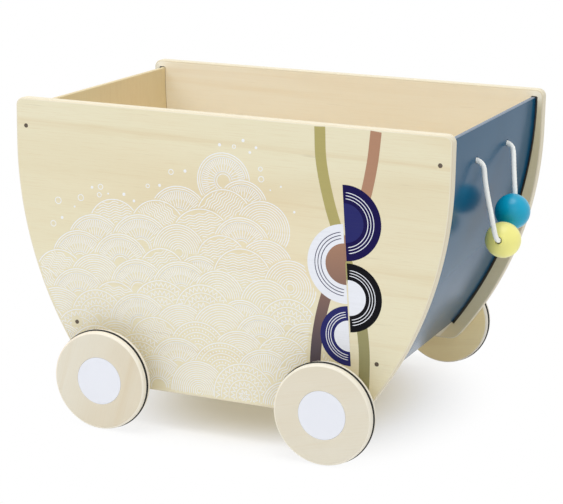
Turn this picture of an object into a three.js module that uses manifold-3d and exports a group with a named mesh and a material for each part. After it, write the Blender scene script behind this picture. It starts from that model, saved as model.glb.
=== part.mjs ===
// Rolling toy cart: an open plywood tub on four rubber-tyred wooden wheels, with a pull cord.
//
// Millimetres, +Z up. The origin is on the floor under the middle of the cart. +X is the front,
// where the cord is. -Y is the right-hand side and +Y the left-hand side.
//
// Two side panels of one outline carry everything. Their inner faces are routed with a curved
// groove for each bent end panel and a straight one for the floor, and the axles pass through them.

import * as THREE from 'three';
import { mergeVertices } from 'three/addons/utils/BufferGeometryUtils.js';
import Module from 'manifold-3d';

const wasm = await Module();
wasm.setup();

// Side panels
const CART_LENGTH = 450;
const CART_WIDTH = 310;
const PANEL_HEIGHT = 280;
const PANEL_THICKNESS = 12;
const STRAIGHT_DROP = 43;
const SWEEP_RADIUS = 372.5;
const TOP_CORNER_RADIUS = 8;
const BOTTOM_CORNER_RADIUS = 15;
const EDGE_ROUND = 1.6;

// Bent end panels
const END_THICKNESS = 4.3;
const END_RADIUS = 422.8;
const END_SETBACK = 8.7;
const END_TOP_DROP = 8;
const END_CENTRE_DROP = 13;
const END_BOTTOM_RISE = 19.3;
const END_EDGE_ROUND = 1.2;
const END_CORNER_RADIUS = 6;

// Floor panel
const FLOOR_THICKNESS = 6.5;
const FLOOR_RISE = 24;

// Grooves routed in the side panels
const GROOVE_DEPTH = 5;
const GROOVE_SHADOW_GAP = 2.7;
const GROOVE_TOP_GAP = 0.8;
const GROOVE_CORNER_RADIUS = 1.6;

// Screws through the side panels into the end panels' edges
const SCREW_HEAD_RADIUS = 2;
const SCREW_HEAD_RIM = 0.7;
const SCREW_SHANK_RADIUS = 1.1;
const SCREW_LENGTH = 32;
const SCREW_TIP = 4;
const SCREW_SINK = 0.2;
const SCREW_TOP_DROP = 27.5;
const SCREW_BOTTOM_RISE = 59;

// Axles and what holds the wheels on them
const AXLE_RADIUS = 4;
const AXLE_RISE = 12.2;
const AXLE_INSET = 15.2;
const AXLE_END_ROUND = 0.8;
const AXLE_PAST_NUT = 1.2;
const SPACER_RADIUS = 8;
const WHEEL_STANDOFF = 16.5;
const NUT_FLANGE_RADIUS = 8;
const NUT_FLANGE_THICKNESS = 0.9;
const NUT_COLLAR_RADIUS = 5.6;
const NUT_HEIGHT = 2.8;

// Wheels
const WHEEL_RADIUS = 49.2;
const TYRE_PROUD = 1;
const TYRE_SECTION_RADIUS = 1.5;
const WHEEL_THICKNESS = 15;
const WHEEL_EDGE_ROUND = 2.4;
const NUT_WELL_RADIUS = 12;
const NUT_WELL_DEPTH = 7;
const CAP_RADIUS = 23.75;
const CAP_THICKNESS = 1.5;
const CAP_SPIGOT_WALL = 1.5;
const CAP_SPIGOT_DEPTH = 1.6;

// Pull cord, its knots inside the tub and the two beads on it
const CORD_RADIUS = 2.5;
const CORD_HOLE_RADIUS = 3.5;
const CORD_HOLE_DROP = 32.5;
const CORD_HOLE_SPACING = 100;
const BEAD_RADIUS = 17.5;
const BEAD_BORE_RADIUS = 3.4;
const BEAD_GAP = 6.5;
const KNOT_RADIUS = 7.6;
const KNOT_LENGTH = 12;
const KNOT_FACE_RADIUS = 5.2;

// Clearances: pieces that touch on the real cart lie this far apart
const SEAT_GAP = 0.3;
const RUNNING_CLEARANCE = 0.1;
const CUT_MARGIN = 1;

// Facet counts
const SWEEP_STEPS = 15;
const CORNER_STEPS = 3;
const EDGE_STEPS = 2;
const SHEET_STEPS = 16;
const WHEEL_FACETS = 32;
const WHEEL_EDGE_STEPS = 2;
const TYRE_SECTION_FACETS = 8;
const HUB_FACETS = 24;
const ROD_FACETS = 16;
const SLEEVE_FACETS = 12;
const SCREW_FACETS = 8;
const BEAD_FACETS = 20;
const BEAD_RINGS = 10;
const CORD_FACETS = 8;
const CORD_STEPS = 76;

// Places worked out from the sizes above
const HALF_WIDTH = CART_WIDTH / 2;
const INNER_HALF_WIDTH = HALF_WIDTH - PANEL_THICKNESS;
const TYRE_OUTER_RADIUS = WHEEL_RADIUS + TYRE_PROUD;
const AXLE_HEIGHT = TYRE_OUTER_RADIUS;
const BOTTOM_HEIGHT = AXLE_HEIGHT - AXLE_RISE;
const TOP_HEIGHT = BOTTOM_HEIGHT + PANEL_HEIGHT;
const SWEEP_CENTRE_X = CART_LENGTH / 2 - SWEEP_RADIUS;
const SWEEP_CENTRE_Z = TOP_HEIGHT - STRAIGHT_DROP;
const FOOT_CENTRE_Z = BOTTOM_HEIGHT + BOTTOM_CORNER_RADIUS;
const FOOT_REACH = SWEEP_RADIUS - BOTTOM_CORNER_RADIUS;
const FOOT_ANGLE = Math.asin((FOOT_CENTRE_Z - SWEEP_CENTRE_Z) / FOOT_REACH);
const FOOT_CENTRE_X = SWEEP_CENTRE_X + FOOT_REACH * Math.cos(FOOT_ANGLE);
const AXLE_X = FOOT_CENTRE_X - AXLE_INSET;
const END_CENTRE_X = CART_LENGTH / 2 - END_SETBACK - END_RADIUS;
const END_CENTRE_Z = TOP_HEIGHT - END_CENTRE_DROP;
const END_INNER_RADIUS = END_RADIUS - END_THICKNESS;
const END_MIDDLE_RADIUS = (END_RADIUS + END_INNER_RADIUS) / 2;
const SHEET_HALF_WIDTH = INNER_HALF_WIDTH + GROOVE_DEPTH - SEAT_GAP;
const FLOOR_UNDERSIDE = BOTTOM_HEIGHT + FLOOR_RISE;
const FLOOR_TOP = FLOOR_UNDERSIDE + FLOOR_THICKNESS;
const CORD_HOLE_HEIGHT = TOP_HEIGHT - END_TOP_DROP - CORD_HOLE_DROP;
const WHEEL_INNER_FACE = WHEEL_STANDOFF;
const WHEEL_OUTER_FACE = WHEEL_INNER_FACE + WHEEL_THICKNESS;
const NUT_WELL_FLOOR = WHEEL_OUTER_FACE - NUT_WELL_DEPTH;
const NUT_SEAT = NUT_WELL_FLOOR + SEAT_GAP;
const AXLE_HALF_LENGTH = HALF_WIDTH + NUT_SEAT + NUT_HEIGHT + AXLE_PAST_NUT;

const FRONT = 1;
const REAR = -1;
const LEFT = 1;
const RIGHT = -1;
const END_NAMES = new Map([[FRONT, 'front'], [REAR, 'rear']]);
const SIDE_NAMES = new Map([[RIGHT, 'right'], [LEFT, 'left']]);

function material(color, roughness, metalness = 0) {
  return new THREE.MeshStandardMaterial({ color, roughness, metalness });
}

const plywood = material(0xe6dbbb, 0.55);
const plainWood = material(0xd9c69e, 0.6);
const slateBlue = material(0x3d6179, 0.4);
const wheelWood = material(0xe2dac5, 0.55);
const rubber = material(0x1d1c1b, 0.75);
const whitePlastic = material(0xe8ecf3, 0.4);
const nylon = material(0xd8d6cd, 0.5);
const steel = material(0xb3b3b0, 0.35, 0.9);
const darkSteel = material(0x4b443b, 0.45, 0.7);
const whiteCord = material(0xe9e9e6, 0.9);
const yellowPaint = material(0xe6e181, 0.35);
const bluePaint = material(0x1b8db9, 0.3);

// Meshes and solids

function weld(geometry) {
  geometry.deleteAttribute('normal');
  geometry.deleteAttribute('uv');
  const welded = mergeVertices(geometry, 1e-4);
  const corners = welded.index.array;
  const kept = [];
  for (let i = 0; i < corners.length; i += 3) {
    const [a, b, c] = [corners[i], corners[i + 1], corners[i + 2]];
    if (a !== b && b !== c && c !== a) kept.push(a, b, c);
  }
  welded.setIndex(kept);
  return welded;
}

function toSolid(geometry) {
  const welded = weld(geometry);
  return new wasm.Manifold(new wasm.Mesh({
    numProp: 3,
    vertProperties: new Float32Array(welded.attributes.position.array),
    triVerts: new Uint32Array(welded.index.array),
  }));
}

function toGeometry(solid) {
  const mesh = solid.getMesh();
  const geometry = new THREE.BufferGeometry();
  geometry.setAttribute('position', new THREE.Float32BufferAttribute(mesh.vertProperties, 3));
  geometry.setIndex(Array.from(mesh.triVerts));
  return geometry;
}

function cut(geometry, cutters) {
  let solid = toSolid(geometry);
  for (const cutter of cutters) solid = solid.subtract(toSolid(cutter));
  return toGeometry(solid);
}

// Outlines are lists of (x, z) points, and a slab is an outline carried across the cart along Y.

function arc(centreX, centreZ, radius, from, to, steps) {
  return Array.from({ length: steps + 1 }, (_, i) => {
    const angle = from + ((to - from) * i) / steps;
    return new THREE.Vector2(centreX + radius * Math.cos(angle), centreZ + radius * Math.sin(angle));
  });
}

function mirrored(outline) {
  return outline.map((point) => new THREE.Vector2(-point.x, point.y)).reverse();
}

function towards(end, outline) {
  return end === FRONT ? outline : mirrored(outline);
}

function slab(outline, yLow, yHigh, round = 0) {
  const geometry = new THREE.ExtrudeGeometry(new THREE.Shape(outline), {
    depth: yHigh - yLow - 2 * round,
    bevelEnabled: round > 0,
    bevelThickness: round,
    bevelSize: round,
    bevelOffset: -round,
    bevelSegments: EDGE_STEPS,
  });
  geometry.rotateX(Math.PI / 2);
  geometry.translate(0, yHigh - round, 0);
  return geometry;
}

// A profile is a list of [radius, distance along Y]. Its turned solid has a facet square to each
// axis, so a wheel stands on a flat.
function lathe(profile, facets) {
  const points = profile.map(([r, y]) => new THREE.Vector2(r, y));
  return weld(new THREE.LatheGeometry(points, facets, Math.PI / facets));
}

function rodAlongY(x, z, radius, yLow, yHigh) {
  const geometry = new THREE.CylinderGeometry(radius, radius, yHigh - yLow, ROD_FACETS);
  geometry.translate(x, (yLow + yHigh) / 2, z);
  return geometry;
}

function quarterRound(radius, y, round, outwardR, outwardY) {
  const along = outwardR * outwardY > 0;
  return Array.from({ length: WHEEL_EDGE_STEPS + 1 }, (_, i) => {
    const angle = ((along ? i : WHEEL_EDGE_STEPS - i) / WHEEL_EDGE_STEPS) * (Math.PI / 2);
    return [radius + outwardR * round * (Math.cos(angle) - 1), y + outwardY * round * (Math.sin(angle) - 1)];
  });
}

// The tub

function sidePanelOutline() {
  const cornerX = CART_LENGTH / 2 - TOP_CORNER_RADIUS;
  const cornerZ = TOP_HEIGHT - TOP_CORNER_RADIUS;
  const rightHalf = [
    ...arc(FOOT_CENTRE_X, FOOT_CENTRE_Z, BOTTOM_CORNER_RADIUS, -Math.PI / 2, FOOT_ANGLE, CORNER_STEPS),
    ...arc(SWEEP_CENTRE_X, SWEEP_CENTRE_Z, SWEEP_RADIUS, FOOT_ANGLE, 0, SWEEP_STEPS).slice(1),
    ...arc(cornerX, cornerZ, TOP_CORNER_RADIUS, 0, Math.PI / 2, CORNER_STEPS),
  ];
  return [...rightHalf, ...mirrored(rightHalf)];
}

function sheetAngle(height) {
  return Math.asin((height - END_CENTRE_Z) / END_RADIUS);
}

const SHEET_TOP_ANGLE = sheetAngle(TOP_HEIGHT - END_TOP_DROP);
const SHEET_BOTTOM_ANGLE = sheetAngle(BOTTOM_HEIGHT + END_BOTTOM_RISE);

function sheetX(radius, height) {
  return END_CENTRE_X + Math.sqrt(radius ** 2 - (height - END_CENTRE_Z) ** 2);
}

function bandCorner(radius, angle, round, turn) {
  const x = END_CENTRE_X + radius * Math.cos(angle);
  const z = END_CENTRE_Z + radius * Math.sin(angle);
  return arc(x, z, round, angle + turn, angle + turn + Math.PI / 2, EDGE_STEPS);
}

// A curved band between two radii, with both corners of its top end rounded.
function bandOutline(outerRadius, innerRadius, bottomAngle, topAngle, round) {
  const turnAngle = topAngle - round / END_RADIUS;
  return [
    ...arc(END_CENTRE_X, END_CENTRE_Z, outerRadius, bottomAngle, turnAngle, SHEET_STEPS).slice(0, -1),
    ...bandCorner(outerRadius - round, turnAngle, round, 0),
    ...bandCorner(innerRadius + round, turnAngle, round, Math.PI / 2),
    ...arc(END_CENTRE_X, END_CENTRE_Z, innerRadius, turnAngle, bottomAngle, SHEET_STEPS).slice(1),
  ];
}

function endPanelOutline() {
  return bandOutline(END_RADIUS, END_INNER_RADIUS, SHEET_BOTTOM_ANGLE, SHEET_TOP_ANGLE, END_EDGE_ROUND);
}

// The groove is open by a shadow gap outside the sheet and a smaller one above it, and its
// corners are the cutter's.
function endGrooveOutline() {
  return bandOutline(
    END_RADIUS + GROOVE_SHADOW_GAP,
    END_INNER_RADIUS - SEAT_GAP,
    SHEET_BOTTOM_ANGLE - SEAT_GAP / END_RADIUS,
    SHEET_TOP_ANGLE + GROOVE_TOP_GAP / END_RADIUS,
    GROOVE_CORNER_RADIUS,
  );
}

function floorOutline() {
  const low = sheetX(END_INNER_RADIUS - SEAT_GAP, FLOOR_UNDERSIDE);
  const high = sheetX(END_INNER_RADIUS - SEAT_GAP, FLOOR_TOP);
  return [
    new THREE.Vector2(-low, FLOOR_UNDERSIDE),
    new THREE.Vector2(low, FLOOR_UNDERSIDE),
    new THREE.Vector2(high, FLOOR_TOP),
    new THREE.Vector2(-high, FLOOR_TOP),
  ];
}

function floorGrooveOutline() {
  const reach = sheetX(END_MIDDLE_RADIUS, FLOOR_TOP);
  const low = FLOOR_UNDERSIDE - SEAT_GAP;
  const high = FLOOR_TOP + SEAT_GAP;
  return [
    new THREE.Vector2(-reach, low),
    new THREE.Vector2(reach, low),
    new THREE.Vector2(reach, high),
    new THREE.Vector2(-reach, high),
  ];
}

// Screws run along Y from a head at 0. The hole is the same profile, larger by the gap all round.

function screwProfile() {
  const coneEnd = SCREW_HEAD_RIM + SCREW_HEAD_RADIUS - SCREW_SHANK_RADIUS;
  return [
    [0, SCREW_LENGTH],
    [SCREW_SHANK_RADIUS, SCREW_LENGTH - SCREW_TIP],
    [SCREW_SHANK_RADIUS, coneEnd],
    [SCREW_HEAD_RADIUS, SCREW_HEAD_RIM],
    [SCREW_HEAD_RADIUS, 0],
    [0, 0],
  ].reverse();
}

function screwHoleProfile() {
  const head = SCREW_HEAD_RADIUS + SEAT_GAP;
  const shank = SCREW_SHANK_RADIUS + SEAT_GAP;
  const rim = SCREW_HEAD_RIM + SEAT_GAP;
  return [
    [0, -SCREW_SINK - CUT_MARGIN],
    [head, -SCREW_SINK - CUT_MARGIN],
    [head, rim],
    [shank, rim + head - shank],
    [shank, SCREW_LENGTH + SEAT_GAP],
    [0, SCREW_LENGTH + SEAT_GAP],
  ];
}

function screwHeights() {
  return new Map([
    ['upper', TOP_HEIGHT - SCREW_TOP_DROP],
    ['lower', BOTTOM_HEIGHT + SCREW_BOTTOM_RISE],
  ]);
}

function screwPlaces() {
  const places = [];
  for (const [side, sideName] of SIDE_NAMES) {
    for (const [end, endName] of END_NAMES) {
      for (const [heightName, z] of screwHeights()) {
        places.push({
          name: `panel_screw_${endName}_${sideName}_${heightName}`,
          side,
          end,
          position: new THREE.Vector3(
            end * sheetX(END_MIDDLE_RADIUS, z),
            side * (HALF_WIDTH - SCREW_SINK),
            z,
          ),
        });
      }
    }
  }
  return places;
}

// Local +Y points into the cart from a side panel's outer face, or out of it for a wheel.
function turnedInward(side) {
  return side === LEFT ? Math.PI : 0;
}

function screwHole(place) {
  const geometry = lathe(screwHoleProfile(), SCREW_FACETS);
  geometry.rotateX(turnedInward(place.side));
  geometry.translate(place.position.x, place.position.y, place.position.z);
  return geometry;
}

function acrossPanel(side, fromDepth, toDepth) {
  const a = side * (HALF_WIDTH - fromDepth);
  const b = side * (HALF_WIDTH - toDepth);
  return [Math.min(a, b), Math.max(a, b)];
}

function sidePanel(side) {
  const grooveSpan = acrossPanel(side, PANEL_THICKNESS - GROOVE_DEPTH, PANEL_THICKNESS + CUT_MARGIN);
  const holeSpan = acrossPanel(side, -CUT_MARGIN, PANEL_THICKNESS + CUT_MARGIN);
  const grooves = [FRONT, REAR].map((end) => slab(towards(end, endGrooveOutline()), ...grooveSpan));
  const axleHoles = [FRONT, REAR].map((end) =>
    rodAlongY(end * AXLE_X, AXLE_HEIGHT, AXLE_RADIUS + SEAT_GAP, ...holeSpan));
  const screwHoles = screwPlaces().filter((place) => place.side === side).map(screwHole);
  return cut(slab(sidePanelOutline(), ...acrossPanel(side, 0, PANEL_THICKNESS), EDGE_ROUND), [
    ...grooves,
    slab(floorGrooveOutline(), ...grooveSpan),
    ...axleHoles,
    ...screwHoles,
  ]);
}

function cordHole(side) {
  const length = 2 * (END_THICKNESS + CUT_MARGIN) + END_THICKNESS;
  const geometry = new THREE.CylinderGeometry(CORD_HOLE_RADIUS, CORD_HOLE_RADIUS, length, ROD_FACETS);
  geometry.rotateZ(Math.PI / 2);
  geometry.translate(holeX(), (side * CORD_HOLE_SPACING) / 2, CORD_HOLE_HEIGHT);
  return geometry;
}

// What is taken off to round an upper corner of a bent sheet, where it stands in the groove.
function cornerWaste(end, side) {
  const y = SHEET_HALF_WIDTH - END_CORNER_RADIUS;
  const z = TOP_HEIGHT - END_TOP_DROP - END_CORNER_RADIUS;
  const beyond = END_CORNER_RADIUS + CUT_MARGIN;
  const outline = [
    ...arc(y, z, END_CORNER_RADIUS, 0, Math.PI / 2, CORNER_STEPS),
    new THREE.Vector2(y, z + beyond),
    new THREE.Vector2(y + beyond, z + beyond),
    new THREE.Vector2(y + beyond, z),
  ];
  const depth = END_THICKNESS + 2 * CUT_MARGIN;
  const geometry = new THREE.ExtrudeGeometry(new THREE.Shape(outline), { depth, bevelEnabled: false });
  geometry.translate(0, 0, -depth / 2);
  geometry.applyMatrix4(new THREE.Matrix4().makeBasis(
    new THREE.Vector3(0, 1, 0),
    new THREE.Vector3(0, 0, 1),
    new THREE.Vector3(1, 0, 0),
  ));
  geometry.rotateZ(side === LEFT ? 0 : Math.PI);
  geometry.translate(end * sheetX(END_MIDDLE_RADIUS, TOP_HEIGHT - END_TOP_DROP), 0, 0);
  return geometry;
}

function endPanel(end) {
  const pilots = screwPlaces().filter((place) => place.end === end).map(screwHole);
  const corners = [RIGHT, LEFT].map((side) => cornerWaste(end, side));
  const cordHoles = end === FRONT ? [RIGHT, LEFT].map(cordHole) : [];
  const sheet = slab(towards(end, endPanelOutline()), -SHEET_HALF_WIDTH, SHEET_HALF_WIDTH);
  return cut(sheet, [...pilots, ...corners, ...cordHoles]);
}

// Wheels and axles. Profiles start at the side panel's outer face and run outwards along Y.

function wheelProfile() {
  const bore = AXLE_RADIUS + RUNNING_CLEARANCE;
  const middle = (WHEEL_INNER_FACE + WHEEL_OUTER_FACE) / 2;
  const grooveRadius = TYRE_SECTION_RADIUS + SEAT_GAP;
  const grooveCentre = TYRE_OUTER_RADIUS - TYRE_SECTION_RADIUS;
  const lip = Math.acos((WHEEL_RADIUS - grooveCentre) / grooveRadius);
  const groove = Array.from({ length: TYRE_SECTION_FACETS / 2 + 1 }, (_, i) => {
    const angle = -lip - (i / (TYRE_SECTION_FACETS / 2)) * (2 * Math.PI - 2 * lip);
    return [grooveCentre + grooveRadius * Math.cos(angle), middle + grooveRadius * Math.sin(angle)];
  });
  const capSeat = WHEEL_OUTER_FACE - CAP_THICKNESS - SEAT_GAP;
  return [
    [bore, WHEEL_INNER_FACE],
    ...quarterRound(WHEEL_RADIUS, WHEEL_INNER_FACE, WHEEL_EDGE_ROUND, 1, -1),
    ...groove,
    ...quarterRound(WHEEL_RADIUS, WHEEL_OUTER_FACE, WHEEL_EDGE_ROUND, 1, 1),
    [CAP_RADIUS + SEAT_GAP, WHEEL_OUTER_FACE],
    [CAP_RADIUS + SEAT_GAP, capSeat],
    [NUT_WELL_RADIUS, capSeat],
    [NUT_WELL_RADIUS, NUT_WELL_FLOOR],
    [bore, NUT_WELL_FLOOR],
    [bore, WHEEL_INNER_FACE],
  ];
}

// The middle of each facet lies on the tyre's true radius.
function tyreProfile() {
  const middle = (WHEEL_INNER_FACE + WHEEL_OUTER_FACE) / 2;
  const centre = TYRE_OUTER_RADIUS / Math.cos(Math.PI / WHEEL_FACETS) - TYRE_SECTION_RADIUS;
  return Array.from({ length: TYRE_SECTION_FACETS + 1 }, (_, i) => {
    const angle = (i / TYRE_SECTION_FACETS) * 2 * Math.PI;
    return [centre + TYRE_SECTION_RADIUS * Math.cos(angle), middle + TYRE_SECTION_RADIUS * Math.sin(angle)];
  });
}

// A flat disc with a ring-shaped spigot behind it that snaps into the nut's well.
function capProfile() {
  const back = WHEEL_OUTER_FACE - CAP_THICKNESS;
  const spigot = NUT_WELL_RADIUS - SEAT_GAP;
  return [
    [0, back],
    [spigot - CAP_SPIGOT_WALL, back],
    [spigot - CAP_SPIGOT_WALL, back - CAP_SPIGOT_DEPTH],
    [spigot, back - CAP_SPIGOT_DEPTH],
    [spigot, back],
    [CAP_RADIUS, back],
    [CAP_RADIUS, WHEEL_OUTER_FACE],
    [0, WHEEL_OUTER_FACE],
  ];
}

function nutProfile() {
  const bore = AXLE_RADIUS + SEAT_GAP;
  return [
    [bore, NUT_SEAT],
    [NUT_FLANGE_RADIUS, NUT_SEAT],
    [NUT_FLANGE_RADIUS, NUT_SEAT + NUT_FLANGE_THICKNESS],
    [NUT_COLLAR_RADIUS, NUT_SEAT + NUT_FLANGE_THICKNESS],
    [NUT_COLLAR_RADIUS, NUT_SEAT + NUT_HEIGHT],
    [bore, NUT_SEAT + NUT_HEIGHT],
    [bore, NUT_SEAT],
  ];
}

function spacerProfile() {
  const bore = AXLE_RADIUS + SEAT_GAP;
  const near = SEAT_GAP;
  const far = WHEEL_INNER_FACE - SEAT_GAP;
  return [[bore, near], [SPACER_RADIUS, near], [SPACER_RADIUS, far], [bore, far], [bore, near]];
}

function axleProfile() {
  const end = AXLE_HALF_LENGTH;
  return [
    [0, -end],
    [AXLE_RADIUS - AXLE_END_ROUND, -end],
    [AXLE_RADIUS, -end + AXLE_END_ROUND],
    [AXLE_RADIUS, end - AXLE_END_ROUND],
    [AXLE_RADIUS - AXLE_END_ROUND, end],
    [0, end],
  ];
}

// Pull cord. Each point is [out from the front panel's outer face, across, up from the holes].
// A strand's points are measured across from its own hole, and the others from the middle of the
// cart. The cord leaves the right-hand hole, runs down, turns in through the yellow bead, round
// and up through the blue bead, and climbs to the left-hand hole.

const RIGHT_STRAND = [
  [-3.4, 0, 0.45],
  [-0.5, 0, -0.05],
  [2.3, 0, -0.95],
  [4.7, -0.1, -2.6],
  [6.6, -0.2, -5],
  [7.7, -0.3, -8],
  [8.9, -0.5, -16.5],
  [10.9, -0.6, -27],
  [13.3, -0.5, -37.5],
  [15.6, 0.1, -47.5],
  [17.6, 1.8, -58.5],
];
const LEFT_STRAND = [
  [15.5, -21.6, -33.5],
  [13.3, -16.8, -25],
  [11.1, -11.6, -17.4],
  [9.4, -7.4, -11.9],
  [7.9, -4.2, -7.2],
  [6.6, -2.4, -4.3],
  [4.7, -1.2, -2.3],
  [2.3, -0.4, -0.9],
  [-0.5, 0, -0.05],
  [-3.4, 0, 0.45],
];
const TURN_TO_YELLOW_BEAD = [
  [19.4, -44.1, -71.5],
  [20.1, -42, -75.3],
  [20.5, -38.8, -78],
];
const TURN_BETWEEN_BEADS = [
  [20.3, -0.3, -84.75],
  [19.7, 3.9, -83.3],
  [19.1, 7.3, -80.3],
];
const CORD_END_UP = 0.55;
const YELLOW_BEAD_CENTRE = [20.55, -19.75, -82.05];
const YELLOW_BORE_ANGLE = -9.9;
const BLUE_BORE_ANGLE = 66.9;
const BEAD_LINE_ANGLE = 30.1;
const BEAD_LINE_OUT = -0.05;
const BORE_RUN = 0.88;

function holeX() {
  return sheetX(END_RADIUS, CORD_HOLE_HEIGHT);
}

function knotFaceX() {
  return sheetX(END_INNER_RADIUS, CORD_HOLE_HEIGHT - KNOT_RADIUS) - SEAT_GAP;
}

function cordPoint([out, across, up]) {
  return new THREE.Vector3(holeX() + out, across, CORD_HOLE_HEIGHT + up);
}

function strandPoint(side, [out, across, up]) {
  return cordPoint([out, (side * CORD_HOLE_SPACING) / 2 + across, up]);
}

function cordEnd(side) {
  const out = knotFaceX() + SEAT_GAP - holeX();
  return strandPoint(side, [out, 0, CORD_END_UP]);
}

function acrossAt(degrees) {
  const angle = THREE.MathUtils.degToRad(degrees);
  return new THREE.Vector3(0, Math.cos(angle), Math.sin(angle));
}

function beadPlaces() {
  const yellow = cordPoint(YELLOW_BEAD_CENTRE);
  const step = acrossAt(BEAD_LINE_ANGLE).setX(BEAD_LINE_OUT).multiplyScalar(2 * BEAD_RADIUS + BEAD_GAP);
  return [
    { name: 'bead_yellow', paint: yellowPaint, centre: yellow, bore: acrossAt(YELLOW_BORE_ANGLE) },
    { name: 'bead_blue', paint: bluePaint, centre: yellow.clone().add(step), bore: acrossAt(BLUE_BORE_ANGLE) },
  ];
}

function throughBead(bead) {
  return [-1, -0.5, 0, 0.5, 1].map((share) =>
    bead.centre.clone().addScaledVector(bead.bore, share * BORE_RUN * BEAD_RADIUS));
}

function cordRoute() {
  const [yellow, blue] = beadPlaces();
  return [
    cordEnd(RIGHT),
    ...RIGHT_STRAND.map((point) => strandPoint(RIGHT, point)),
    ...TURN_TO_YELLOW_BEAD.map(cordPoint),
    ...throughBead(yellow),
    ...TURN_BETWEEN_BEADS.map(cordPoint),
    ...throughBead(blue),
    ...LEFT_STRAND.map((point) => strandPoint(LEFT, point)),
    cordEnd(LEFT),
  ];
}

function pullCord() {
  const path = new THREE.CatmullRomCurve3(cordRoute(), false, 'centripetal');
  const section = new THREE.Shape(arc(0, 0, CORD_RADIUS, 0, 2 * Math.PI, CORD_FACETS).slice(1));
  return weld(new THREE.ExtrudeGeometry(section, {
    steps: CORD_STEPS,
    extrudePath: path,
    bevelEnabled: false,
  }));
}

function beadProfile() {
  const half = Math.asin(BEAD_BORE_RADIUS / BEAD_RADIUS);
  const ball = Array.from({ length: BEAD_RINGS + 1 }, (_, i) => {
    const angle = -Math.PI / 2 + half + ((Math.PI - 2 * half) * i) / BEAD_RINGS;
    return [BEAD_RADIUS * Math.cos(angle), BEAD_RADIUS * Math.sin(angle)];
  });
  return [...ball, ball[0]];
}

// A knot drawn up against the inner face of the front panel, larger than the hole.
function knotProfile() {
  return [
    [0, 0],
    [KNOT_FACE_RADIUS, 0],
    [KNOT_RADIUS, KNOT_LENGTH / 4],
    [KNOT_RADIUS, (KNOT_LENGTH * 3) / 4],
    [KNOT_FACE_RADIUS, KNOT_LENGTH],
    [0, KNOT_LENGTH],
  ];
}

// The assembly

const cart = new THREE.Group();

function add(parent, name, geometry, finish) {
  const mesh = new THREE.Mesh(geometry, finish);
  mesh.name = name;
  parent.add(mesh);
  return mesh;
}

for (const [side, sideName] of SIDE_NAMES) {
  add(cart, `side_panel_${sideName}`, sidePanel(side), plywood);
}
add(cart, 'end_panel_front', endPanel(FRONT), slateBlue);
add(cart, 'end_panel_rear', endPanel(REAR), slateBlue);
add(cart, 'floor_panel', weld(slab(floorOutline(), -SHEET_HALF_WIDTH, SHEET_HALF_WIDTH)), plainWood);

for (const place of screwPlaces()) {
  const screw = add(cart, place.name, lathe(screwProfile(), SCREW_FACETS), darkSteel);
  screw.position.copy(place.position);
  screw.rotation.x = turnedInward(place.side);
}

for (const [end, endName] of END_NAMES) {
  const x = end * AXLE_X;
  const axle = add(cart, `axle_${endName}`, lathe(axleProfile(), ROD_FACETS), steel);
  axle.position.set(x, 0, AXLE_HEIGHT);
  for (const [side, sideName] of SIDE_NAMES) {
    const corner = new THREE.Group();
    const label = `${endName}_${sideName}`;
    corner.position.set(x, side * HALF_WIDTH, AXLE_HEIGHT);
    corner.rotation.x = side === RIGHT ? Math.PI : 0;
    add(corner, `axle_spacer_${label}`, lathe(spacerProfile(), SLEEVE_FACETS), nylon);
    add(corner, `wheel_${label}`, lathe(wheelProfile(), WHEEL_FACETS), wheelWood);
    add(corner, `tyre_${label}`, lathe(tyreProfile(), WHEEL_FACETS), rubber);
    add(corner, `push_nut_${label}`, lathe(nutProfile(), SLEEVE_FACETS), steel);
    add(corner, `hub_cap_${label}`, lathe(capProfile(), HUB_FACETS), whitePlastic);
    cart.add(corner);
  }
}

add(cart, 'pull_cord', pullCord(), whiteCord);

for (const place of beadPlaces()) {
  const bead = add(cart, place.name, lathe(beadProfile(), BEAD_FACETS), place.paint);
  bead.position.copy(place.centre);
  bead.quaternion.setFromUnitVectors(new THREE.Vector3(0, 1, 0), place.bore);
}

for (const [side, sideName] of SIDE_NAMES) {
  const knot = add(cart, `cord_knot_${sideName}`, lathe(knotProfile(), SLEEVE_FACETS), whiteCord);
  knot.position.set(knotFaceX(), (side * CORD_HOLE_SPACING) / 2, CORD_HOLE_HEIGHT);
  knot.quaternion.setFromUnitVectors(new THREE.Vector3(0, 1, 0), new THREE.Vector3(-1, 0, 0));
}

cart.updateMatrixWorld(true);

export default cart;
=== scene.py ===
"""A rolling toy cart: plywood tub, curved blue end panels, rubber-tyred wooden wheels, pull cord.

Sizes are in millimetres, as on the drawing, and each mesh is scaled to metres.
+X is the end with the cord, -Y the right-hand side that the camera sees.
"""

import random
from itertools import groupby
from math import acos, asin, cos, dist, hypot, pi, radians, sin, sqrt, tau

import bpy
from mathutils import Matrix, Quaternion, Vector


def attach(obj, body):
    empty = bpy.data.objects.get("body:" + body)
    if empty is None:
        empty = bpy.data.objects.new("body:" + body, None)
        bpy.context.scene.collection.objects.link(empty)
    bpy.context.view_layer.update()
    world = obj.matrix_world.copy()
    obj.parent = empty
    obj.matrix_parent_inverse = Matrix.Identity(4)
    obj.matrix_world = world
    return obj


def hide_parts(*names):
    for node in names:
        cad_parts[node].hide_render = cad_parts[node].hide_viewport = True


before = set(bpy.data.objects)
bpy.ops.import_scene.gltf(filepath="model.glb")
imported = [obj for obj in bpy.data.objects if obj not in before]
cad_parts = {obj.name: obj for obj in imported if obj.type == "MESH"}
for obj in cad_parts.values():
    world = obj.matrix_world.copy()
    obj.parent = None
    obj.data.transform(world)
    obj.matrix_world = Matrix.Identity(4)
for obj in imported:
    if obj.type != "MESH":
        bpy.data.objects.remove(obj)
scene = bpy.context.scene
link = scene.collection.objects.link
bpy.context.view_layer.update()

MM = 0.001

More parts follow.
